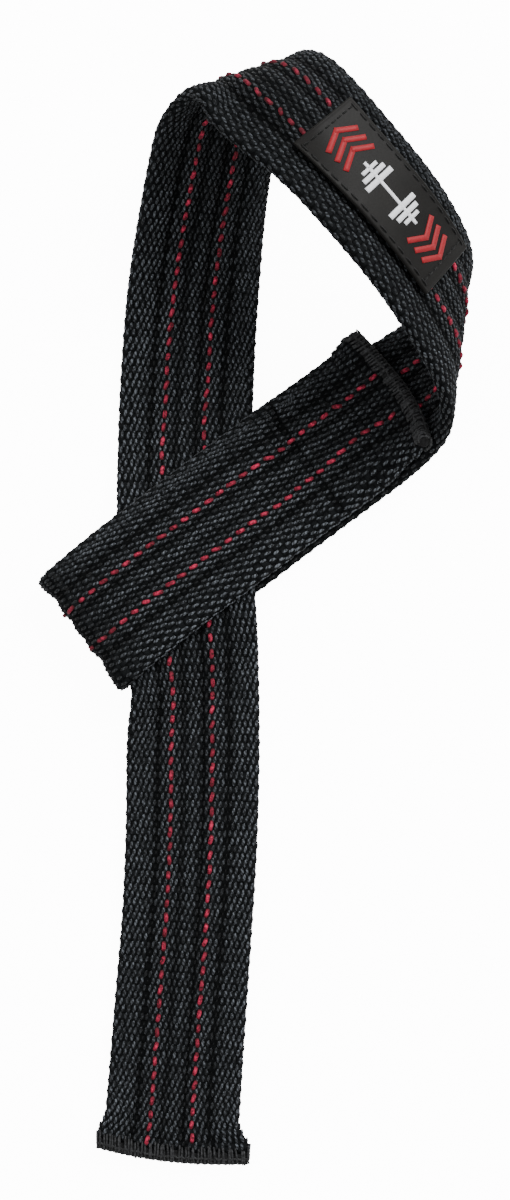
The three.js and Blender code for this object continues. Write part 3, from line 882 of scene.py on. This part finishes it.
def edge_binding_paths(end, direction):
    """The looper threads of an overlocked end: one along its rim, one along its upper ridge."""
    share = np.linspace(-0.5, 0.5, RIM_POINTS)
    wave = RIM_WAVE * np.sin(np.arange(RIM_POINTS) * RIM_WAVE_STEP)
    rim = hem_outline(end, direction, share, HEM_GAP + HEM_DEPTH + wave * RIM_SIDE_WAVE, wave)
    ridge_depth = HEM_GAP + RIDGE_PLACE * HEM_DEPTH + RIDGE_SIDE_WAVE * wave
    ridge_height = np.full_like(share, HEM_THICKNESS / 2 + RIDGE_RISE)
    upper = 1 if end == 0 else -1
    return np.stack([rim, hem_outline(end, direction, share, ridge_depth, upper * ridge_height)])


# The patch, its raised rim, its stitches and its motif

PATCH_RISE = STRAP_THICKNESS / 2 + CLEARANCE
PATCH_EDGE_STEPS = (0, 0.12, 0.3, 0.5, 0.75, 1.0)
PATCH_FLAT_FROM = 1.5
PATCH_ROWS = 68
PATCH_COLUMNS = 24
PATCH_ROUNDING = 0.45
PATCH_EDGE_SHARE = 0.55
RIM_HEIGHT = 0.16
RIM_INWARD = 0.55
RIM_RUN = 0.3
STITCH_COVER = 0.74
STITCH_RISE = 0.10
STITCH_SINK = 0.35
SIDE_STITCH = {"pitch": 3.6, "inward": 1.4, "from_end": 1.2}
END_STITCH = {"pitch": 2.3, "first": 2.4, "last": 3.4}
MOTIF_RISE = 0.28
MOTIF_SINK = 0.05
MOTIF_BEVEL = 0.12
MOTIF_STEP = 0.8
CHEVRON = {"count": 3, "from_end": 14.4, "pitch": 3.3, "reach": 3.4, "arm": 5.6, "width": 1.7}
CHEVRON_TUCK = 0.3
BAR = {"reach": 10.6, "width": 1.1}
PLATE_ROWS = {"off": [4.6, 6.7, 8.5], "half": [5.2, 4.2, 2.9], "width": [1.7, 1.5, 1.2]}


def patch_point(a, c, rise):
    """A point of the patch: a along it, c across it from its middle, rise off its back."""
    along = PATCH_START + np.asarray(a, float)
    across = PATCH_OFFSET + np.asarray(c, float)
    along, across, rise = np.broadcast_arrays(along, across, np.asarray(rise, float))
    normal = band_normal(along.copy(), across.copy())
    return band_point(along.copy(), across.copy()) - normal * (PATCH_RISE + rise)[..., None]


def patch_top(a, c):
    """Height of the patch's face over its back: rounded edges and a raised rim."""
    from_end = np.minimum(a, PATCH_LENGTH - a)
    from_side = PATCH_WIDTH / 2 - np.abs(c)
    inward = np.minimum(from_end, from_side)
    rounding = np.sqrt(np.clip(1 - (1 - np.clip(inward / PATCH_ROUNDING, 0, 1)) ** 2, 0, 1))
    rim = RIM_HEIGHT * hump(inward - RIM_INWARD, RIM_RUN)
    return PATCH_THICKNESS * (PATCH_EDGE_SHARE + (1 - PATCH_EDGE_SHARE) * rounding) + rim


def patch_steps(length, count):
    """Places from one edge of the patch to the other, close together at both."""
    edge = np.array(PATCH_EDGE_STEPS)
    middle = np.linspace(PATCH_FLAT_FROM, length - PATCH_FLAT_FROM, count)
    return np.concatenate([edge, middle, length - edge[::-1]])


def make_patch(material):
    """The patch: a grid for its face, the same grid for its back, and walls between their rims."""
    across = patch_steps(PATCH_WIDTH, PATCH_COLUMNS) - PATCH_WIDTH / 2
    grid_a, grid_c = np.meshgrid(patch_steps(PATCH_LENGTH, PATCH_ROWS), across, indexing="ij")
    top = patch_point(grid_a, grid_c, patch_top(grid_a, grid_c))
    back = patch_point(grid_a, grid_c, 0.0)
    rows, columns = grid_a.shape
    size = rows * columns
    i, j = np.meshgrid(np.arange(rows - 1), np.arange(columns - 1), indexing="ij")
    k = (i * columns + j).ravel()
    top_faces = np.stack([k, k + columns, k + columns + 1, k + 1], axis=1)
    back_faces = top_faces[:, ::-1] + size
    rim = list(range(columns)) + [r * columns + columns - 1 for r in range(1, rows)]
    rim += [(rows - 1) * columns + q for q in range(columns - 2, -1, -1)]
    rim += [r * columns for r in range(rows - 2, 0, -1)]
    rim = np.array(rim)
    follow = np.roll(rim, -1)
    walls = np.stack([rim, follow, follow + size, rim + size], axis=1)
    faces = np.concatenate([top_faces, back_faces, walls]).tolist()
    points = np.concatenate([top.reshape(-1, 3), back.reshape(-1, 3)])
    places = np.stack([grid_c, grid_a], axis=-1).reshape(-1, 2)
    return mesh_from_quads("label_patch_face", points, faces, material, np.concatenate([places, places]))


def stitch_row(start, end, pitch):
    """Stitches from start to end on the patch, each an arch whose ends go into it."""
    start, end = np.array(start, float), np.array(end, float)
    length = np.linalg.norm(end - start)
    count = max(1, round(length / pitch))
    steps = np.linspace(-0.5, 0.5, 7)
    centres = (np.arange(count) + 0.5) / count
    t = centres[:, None] + steps * (STITCH_COVER / count)
    a = start[0] + (end[0] - start[0]) * t
    c = start[1] + (end[1] - start[1]) * t
    arch = STITCH_RISE - STITCH_SINK * (2 * np.abs(steps)) ** 4
    return patch_point(a, c, patch_top(a, c) + arch)


def patch_stitch_paths():
    """One row along each side of the patch and one across each end."""
    side = PATCH_WIDTH / 2 - SIDE_STITCH["inward"]
    first, last = SIDE_STITCH["from_end"], PATCH_LENGTH - SIDE_STITCH["from_end"]
    rows = [stitch_row((first, c), (last, c), SIDE_STITCH["pitch"]) for c in (-side, side)]
    for a in (END_STITCH["first"], PATCH_LENGTH - END_STITCH["last"]):
        rows.append(stitch_row((a, -side), (a, side), END_STITCH["pitch"]))
    return np.concatenate(rows)


def raised_strokes(name, strokes, material):
    """Flat raised strokes on the patch, each from a0, c0 to a1, c1 and of one width."""
    points, faces = [], []
    for a0, c0, a1, c1, width in strokes:
        start, end = np.array([a0, c0]), np.array([a1, c1])
        length = np.linalg.norm(end - start)
        across = np.array([-(end - start)[1], (end - start)[0]]) / length
        steps = max(2, round(length / MOTIF_STEP)) + 1
        t = np.linspace(0, 1, steps)[:, None]
        middle = start + (end - start) * t
        outline = [(-0.5, 0, 0), (-0.5, MOTIF_BEVEL, 1), (0.5, -MOTIF_BEVEL, 1), (0.5, 0, 0)]
        base = len(points)
        for side, pull, up in outline:
            place = middle + across * (side * width + pull)
            rise = patch_top(place[:, 0], place[:, 1]) - MOTIF_SINK + up * MOTIF_RISE
            points.extend(patch_point(place[:, 0], place[:, 1], rise))
        for strip in range(4):
            follow = (strip + 1) % 4
            for k in range(steps - 1):
                a, b = base + strip * steps + k, base + follow * steps + k
                faces.append([a, a + 1, b + 1, b])
        faces.append([base + s * steps for s in range(4)])
        faces.append([base + s * steps + steps - 1 for s in (3, 2, 1, 0)])
    return mesh_from_quads(name, np.array(points), faces, material)


def red_motif():
    """Chevrons at each end of the patch, of two strokes each, pointing away from its middle."""
    arm, width = CHEVRON["arm"], CHEVRON["width"]
    strokes = []
    for k in range(CHEVRON["count"]):
        off = CHEVRON["from_end"] - CHEVRON["pitch"] * k
        for a, reach in ((off, -CHEVRON["reach"]), (PATCH_LENGTH - off, CHEVRON["reach"])):
            strokes += [(a, sign * arm, a + reach, -sign * width * CHEVRON_TUCK, width) for sign in (-1, 1)]
    return strokes


def white_motif():
    """A barbell along the middle of the patch: its bar and three plates on each side."""
    middle = PATCH_LENGTH / 2
    strokes = [(middle - BAR["reach"], 0, middle + BAR["reach"], 0, BAR["width"])]
    for sign in (-1, 1):
        for off, half, width in zip(*PLATE_ROWS.values()):
            strokes.append((middle + sign * off, -half, middle + sign * off, half, width))
    return strokes


# Materials

FLOOR_GLOW = 12.0


def math_node(tree, operation, *values):
    return node(tree, "ShaderNodeMath", dict(enumerate(values)), operation=operation).outputs[0]


def product(tree, first, *others):
    for value in others:
        first = math_node(tree, "MULTIPLY", first, value)
    return first


def paint(tree, shader, tone, dark, light):
    """The surface's colour: dark where the tone is none, light where it is one or more."""
    colors = {0: tone, 6: (*dark, 1), 7: (*light, 1)}
    mixed = node(tree, "ShaderNodeMix", colors, data_type="RGBA").outputs[2]
    tree.links.new(mixed, shader.inputs["Base Color"])


def bump(tree, shader, height, strength, distance_mm):
    inputs = {"Height": height, "Strength": strength, "Distance": distance_mm * MM}
    tree.links.new(node(tree, "ShaderNodeBump", inputs).outputs["Normal"], shader.inputs["Normal"])


def attribute(tree, name, output="Fac"):
    return node(tree, "ShaderNodeAttribute", attribute_name=name).outputs[output]


def object_places(tree):
    return node(tree, "ShaderNodeTexCoord").outputs["Object"]


def weave_group():
    """Plain weave seen from above: rounded ridges in columns, each next one half a pick on."""
    inputs = {"Cloth": "Vector", "Column width": "Float", "Pick": "Float", "Unevenness": "Float"}
    tree, given, result = new_tree("plain weave", "ShaderNodeTree", inputs, {"Height": "Float"})
    wobble = {"Vector": given["Cloth"], "Scale": SWAY_SCALE, "Detail": 2.0, "Roughness": 0.5}
    wobble = node(tree, "ShaderNodeTexNoise", wobble).outputs["Color"]
    sway = node(tree, "ShaderNodeSeparateColor", {0: wobble}).outputs
    place = node(tree, "ShaderNodeSeparateXYZ", {0: given["Cloth"]}).outputs

    def counted(axis, size):
        """A place on the cloth, a little uneven, counted in columns or in picks."""
        off = math_node(tree, "SUBTRACT", sway[axis], 0.5)
        place_there = math_node(tree, "MULTIPLY_ADD", off, given["Unevenness"], place[axis])
        return math_node(tree, "DIVIDE", place_there, given[size])

    def ridge(value, power):
        """Round across its cell: one in the middle and none at the limits."""
        share = math_node(tree, "SUBTRACT", value, math_node(tree, "FLOOR", value))
        off = math_node(tree, "MULTIPLY_ADD", share, 2.0, -1.0)
        fall = math_node(tree, "POWER", math_node(tree, "ABSOLUTE", off), power)
        rise = math_node(tree, "MAXIMUM", math_node(tree, "SUBTRACT", 1.0, fall), 0.0)
        return math_node(tree, "SQRT", rise)

    x = counted(0, "Column width")
    odd = math_node(tree, "MODULO", math_node(tree, "ABSOLUTE", math_node(tree, "FLOOR", x)), 2.0)
    y = math_node(tree, "MULTIPLY_ADD", odd, 0.5, counted(1, "Pick"))
    tree.links.new(product(tree, ridge(x, RIDGE_POWERS[0]), ridge(y, RIDGE_POWERS[1])), result["Height"])
    return tree


def grain_group():
    """Fine fibres or grain: noise as a tone, with its contrast and offset, and as a height."""
    labels = ("Scale", "Detail", "Roughness", "Contrast", "Offset")
    inputs = {"Places": "Vector", **{label: "Float" for label in labels}}
    outputs = {"Tone": "Float", "Height": "Float"}
    tree, given, result = new_tree("fine grain", "ShaderNodeTree", inputs, outputs)
    noise = {"Vector": given["Places"], **{label: given[label] for label in labels[:3]}}
    noise = node(tree, "ShaderNodeTexNoise", noise).outputs[0]
    tone = math_node(tree, "MULTIPLY_ADD", noise, given["Contrast"], given["Offset"])
    tree.links.new(tone, result["Tone"])
    tree.links.new(noise, result["Height"])
    return tree


def grain(tree, places, scale, detail=2.0, roughness=0.5, contrast=1.0, offset=0.0):
    """The fine grain on one material: its tone and its height."""
    values = {"Places": places, "Scale": scale, "Detail": detail}
    values |= {"Roughness": roughness, "Contrast": contrast, "Offset": offset}
    made = node(tree, "ShaderNodeGroup", values, node_tree=GRAIN)
    return made.outputs["Tone"], made.outputs["Height"]


def new_material(name, color, roughness, **constants):
    """A material with one Principled shader; constants are set on its own sockets."""
    material = bpy.data.materials.new(name)
    material.use_nodes = True
    shader = material.node_tree.nodes["Principled BSDF"]
    shader.inputs["Base Color"].default_value = (*color, 1)
    shader.inputs["Roughness"].default_value = roughness
    for label, value in constants.items():
        shader.inputs[label.replace("_", " ")].default_value = value
    material.diffuse_color = (*color, 1)
    return material, material.node_tree, shader


def webbing_material():
    """The ground between the warp floats, its colour painted shade: dark weft ridges, darker still between
    them, and darkest in the sewn channels and along the seam.
    """
    material, tree, shader = new_material("black cotton ground in painted shade", WEBBING_SHADED_GAP, 0.9, Specular_IOR_Level=0.05)
    cloth = node(tree, "ShaderNodeUVMap", uv_map="cloth").outputs[0]
    ridges = {"Cloth": cloth, "Column width": 2 * WARP_COLUMN, "Pick": PICK, "Unevenness": 0.5}
    ridges = node(tree, "ShaderNodeGroup", ridges, node_tree=WEAVE).outputs["Height"]
    fibres, _ = grain(tree, cloth, 2.6, 3.0, 0.7)
    # Painted shade in the channels and along the seam, from the band's 'channel' values
    outside_painted_shade = math_node(tree, "MULTIPLY_ADD", attribute(tree, "channel"), -0.8, 1.0)
    paint(tree, shader, product(tree, fibres, ridges, outside_painted_shade), WEBBING_SHADED_GAP, WEBBING_SHADED_WEFT)
    bump(tree, shader, math_node(tree, "MULTIPLY_ADD", fibres, 0.3, ridges), 1.0, 0.3)
    return material


def cotton_material():
    """Warp yarn: twisted cotton fibres, each float a little lighter or darker than its neighbours at random,
    and its 'tone' also holds painted light and shade.
    """
    gloss = {"Specular_IOR_Level": 0.15, "Sheen_Weight": 0.05, "Sheen_Roughness": 0.5}
    material, tree, shader = new_material("black cotton yarn", WEBBING_TOP, 0.85, **gloss)
    places = object_places(tree)
    fibres, height = grain(tree, places, 1500.0, 2.0, 0.6, 5.0, -1.7)
    patches, _ = grain(tree, places, 90.0, 3.0, 0.5, 0.6, 0.7)
    own = attribute(tree, "tone")
    spot = node(tree, "ShaderNodeSeparateXYZ", {0: attribute(tree, "on_float", "Vector")}).outputs
    turn = math_node(tree, "MULTIPLY_ADD", spot["Y"], PLY_TURNS, product(tree, spot["X"], PLY_SLANT))
    turn = math_node(tree, "MULTIPLY_ADD", own, PLY_SCATTER, turn)
    ply = math_node(tree, "MULTIPLY_ADD", math_node(tree, "SINE", turn), 0.5, 0.75)
    tone = product(tree, own, math_node(tree, "MAXIMUM", fibres, 0.1), ply, patches)
    paint(tree, shader, tone, WEBBING_SHADED_GAP, WEBBING_TOP)
    bump(tree, shader, height, 0.8, 0.16)
    return material


def yarn_material(name, dark, light, roughness, scale):
    """Spun yarn: streaks of light and dark fibres, on the piece's own coordinates."""
    gloss = {"Specular_IOR_Level": 0.15, "Sheen_Weight": 0.05, "Sheen_Roughness": 0.4}
    material, tree, shader = new_material(name, light, roughness, **gloss)
    darkest, lightest = 0.32, 0.68
    contrast = 1 / (lightest - darkest)
    fibres, height = grain(tree, object_places(tree), scale, 3.0, 0.6, contrast, -darkest * contrast)
    paint(tree, shader, fibres, dark, light)
    bump(tree, shader, height, 0.6, 0.12)
    return material


def red_yarn_material():
    """Red yarn: crimson and pinkish on top of each float, nearly black where it dives, which is painted
    shade; its tone also holds painted light and shade along the band.
    """
    gloss = {"Specular_IOR_Level": 0.2, "Sheen_Weight": 0.05, "Sheen_Roughness": 0.4}
    material, tree, shader = new_material("red cotton yarn", RED_TOP, 0.7, **gloss)
    fibres, height = grain(tree, object_places(tree), 1150.0, 3.0, 0.65, 5.5, -2.0)
    # Painted shade where the red float dives into the weave, from its 'fullness' values
    out_of_painted_shade = math_node(tree, "MULTIPLY_ADD", attribute(tree, "fullness"), 1.7, -0.75)
    paint(tree, shader, product(tree, out_of_painted_shade, attribute(tree, "tone"), fibres), RED_DIP_SHADE, RED_TOP)
    bump(tree, shader, height, 0.6, 0.12)
    return material


def leatherette_material():
    """Imitation leather: a fine grain in slow clouds of lighter and darker grey."""
    color = (0.024, 0.023, 0.021)
    material, tree, shader = new_material("dark imitation leather", color, 0.5, Specular_IOR_Level=0.07)
    places = object_places(tree)
    rough, height = grain(tree, places, 2600.0, 3.0, 0.6, 0.25, 0.38)
    clouds, _ = grain(tree, places, 130.0, 3.0)
    tone = math_node(tree, "MULTIPLY_ADD", clouds, 0.7, product(tree, height, 0.3))
    paint(tree, shader, tone, (0.006, 0.0058, 0.0055), (0.0135, 0.013, 0.0122))
    tree.links.new(rough, shader.inputs["Roughness"])
    bump(tree, shader, height, 0.35, 0.08)
    return material


def print_material(name, dark, light):
    """Soft raised print: nearly even, a little worn."""
    material, tree, shader = new_material(name, light, 0.55, Specular_IOR_Level=0.2)
    wear, height = grain(tree, object_places(tree), 900.0, 4.0, 0.7)
    paint(tree, shader, wear, dark, light)
    bump(tree, shader, height, 0.3, 0.05)
    return material


def floor_material():
    """Pale studio floor, a little brighter to the camera than the light it throws back."""
    material, tree, shader = new_material(
        "pale studio floor", (0.93, 0.93, 0.93), 0.9, Emission_Color=(1, 1, 1, 1)
    )
    soft, _ = grain(tree, object_places(tree), 3.0)
    paint(tree, shader, soft, (0.92, 0.92, 0.92), (0.94, 0.94, 0.94))
    seen = node(tree, "ShaderNodeLightPath").outputs["Is Camera Ray"]
    tree.links.new(product(tree, seen, FLOOR_GLOW), shader.inputs["Emission Strength"])
    return material


def frame_shift():
    """From the band's origin to the frame's, so that it lies on the solids.

    It is centred on them in x, and in y it meets the far side of the loop, which isn't cut back.
    """
    along = np.linspace(0, STRAP_LENGTH, 900)
    share = np.linspace(-0.5, 0.5, 21)
    points = [surface(along[:, None], share, side).reshape(-1, 3) for side in (1, -1)]
    points = np.concatenate(points)
    low, high = (np.array(corner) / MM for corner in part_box("strap"))
    shift = ((low + high) - (points.min(axis=0) + points.max(axis=0))) / 2
    shift[1] = high[1] - points[:, 1].max() - YARN_RISE / 2
    shift[2] = 0
    return shift


FRAME_SHIFT = frame_shift()
THREAD_TREE = thread_tree()
FLOAT_TREE = float_tree()
WEAVE = weave_group()
GRAIN = grain_group()

webbing = webbing_material()
cotton_yarn = cotton_material()
red_yarn = red_yarn_material()
OVERLOCK_COLORS = ((0.0015, 0.0015, 0.0016), (0.040, 0.041, 0.043))
CORE_COLORS = ((0.0008, 0.0008, 0.0009), (0.009, 0.009, 0.0095))
RIM_COLORS = ((0.002, 0.002, 0.002), (0.034, 0.035, 0.036))
SEWING_COLORS = ((0.001, 0.001, 0.001), (0.005, 0.005, 0.005))
binding_yarn = yarn_material("black overlock thread", *OVERLOCK_COLORS, 0.8, 1400.0)
binding_core = yarn_material("black binding core", *CORE_COLORS, 0.85, 1400.0)
rim_yarn = yarn_material("grey rim thread", *RIM_COLORS, 0.8, 1300.0)
sewing_yarn = yarn_material("black sewing thread", *SEWING_COLORS, 0.6, 1800.0)
leatherette = leatherette_material()
red_print = print_material("red rubber print", (0.15, 0.004, 0.007), (0.28, 0.014, 0.019))
white_print = print_material("white rubber print", (0.52, 0.53, 0.56), (0.74, 0.74, 0.76))


def settle(piece, slot, *nodes):
    """The piece rides with the strap and stands for its solids, if any; the slot is not used."""
    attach(piece, "root")
    if nodes:
        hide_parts(*nodes)
    return piece


RED_RADIUS = 0.6
RED_TAPER = [0.4, 0.85, 1, 0.85, 0.4]
RED_SIDES = 7
OVERLOCK_RADIUS = 0.28
RIM_RADIUS = 0.3
SEWING_RADIUS = 0.27

rng = np.random.default_rng(7)
band = settle(make_band(webbing), "webbing", "strap")
settle(make_floats("weave_upper", 1, cotton_yarn, rng), "webbing")
settle(make_floats("weave_lower", -1, cotton_yarn, rng), "webbing")
red_paths, red_tones = red_float_paths(rng)
red_lines = make_threads("red_lines", red_paths, RED_RADIUS, red_yarn, RED_TAPER, RED_SIDES, red_tones)
settle(red_lines, "webbing")
settle(make_edge_floats("weave_edges", cotton_yarn, rng), "webbing")
settle(make_hem("tail_hem_binding", 0.0, -1, binding_core), "binding", "tail_hem")
settle(make_hem("eyelet_hem_binding", STRAP_LENGTH, 1, binding_core), "binding", "eyelet_hem")
hem_threads = np.concatenate([hem_thread_paths(0.0, -1, rng), hem_thread_paths(STRAP_LENGTH, 1, rng)])
settle(make_threads("hem_threads", hem_threads, OVERLOCK_RADIUS, binding_yarn), "binding")
rims = np.concatenate([edge_binding_paths(0.0, -1), edge_binding_paths(STRAP_LENGTH, 1)])
settle(make_threads("hem_rim_threads", rims, RIM_RADIUS, rim_yarn), "binding")
settle(make_patch(leatherette), "patch", "label_patch")
settle(make_threads("patch_stitches", patch_stitch_paths(), SEWING_RADIUS, sewing_yarn), "patch")
settle(raised_strokes("patch_chevrons", red_motif(), red_print), "patch")
settle(raised_strokes("patch_barbell", white_motif(), white_print), "patch")

# Floor, soft light and the camera straight above
HALF_FLOOR = 3.0
FLOOR_HEIGHT = -0.0002
floor_mesh = bpy.data.meshes.new("studio_floor")
turns = ((-1, -1), (1, -1), (1, 1), (-1, 1))
floor_mesh.from_pydata([(x * HALF_FLOOR, y * HALF_FLOOR, FLOOR_HEIGHT) for x, y in turns], [], [(0, 1, 2, 3)])
floor_mesh.materials.append(floor_material())
floor = new_object("studio_floor", floor_mesh)

CAMERA_HEIGHT = 0.881
SENSOR_HEIGHT = 24
PHOTO_SCALE_MM = 0.2857
PHOTO_HEIGHT_PX = 1200
CAMERA_OVER_TAIL = (24.31, 158.37)


def add_camera():
    camera = bpy.data.cameras.new("camera")
    camera.sensor_fit = "VERTICAL"
    camera.sensor_height = SENSOR_HEIGHT
    covered = PHOTO_SCALE_MM * MM * PHOTO_HEIGHT_PX
    camera.lens = SENSOR_HEIGHT * CAMERA_HEIGHT / covered
    camera.clip_start = 0.01
    holder = new_object("camera", camera)
    x, y = (np.array(CAMERA_OVER_TAIL) + FRAME_SHIFT[:2]) * MM
    holder.location = (x, y, CAMERA_HEIGHT)
    bpy.context.scene.camera = holder


def add_light(name, place, size, power):
    """A square softbox that faces the origin; its size in metres, its power in watts."""
    light = bpy.data.lights.new(name, "AREA")
    light.shape = "SQUARE"
    light.size = size
    light.energy = power
    holder = new_object(name, light)
    holder.location = place
    holder.rotation_euler = (-Vector(place)).to_track_quat("-Z", "Y").to_euler()


add_camera()
add_light("key_softbox", (0.75, 0.95, 0.95), 0.7, 38)
add_light("fill_softbox", (-1.1, -0.1, 1.1), 1.0, 14)
add_light("top_softbox", (0.0, -0.2, 1.6), 1.2, 12)

WORLD_LIGHT = 0.35
world = bpy.data.worlds.new("studio")
world.use_nodes = True
background = world.node_tree.nodes["Background"]
background.inputs["Color"].default_value = (1, 1, 1, 1)
background.inputs["Strength"].default_value = WORLD_LIGHT
bpy.context.scene.world = world
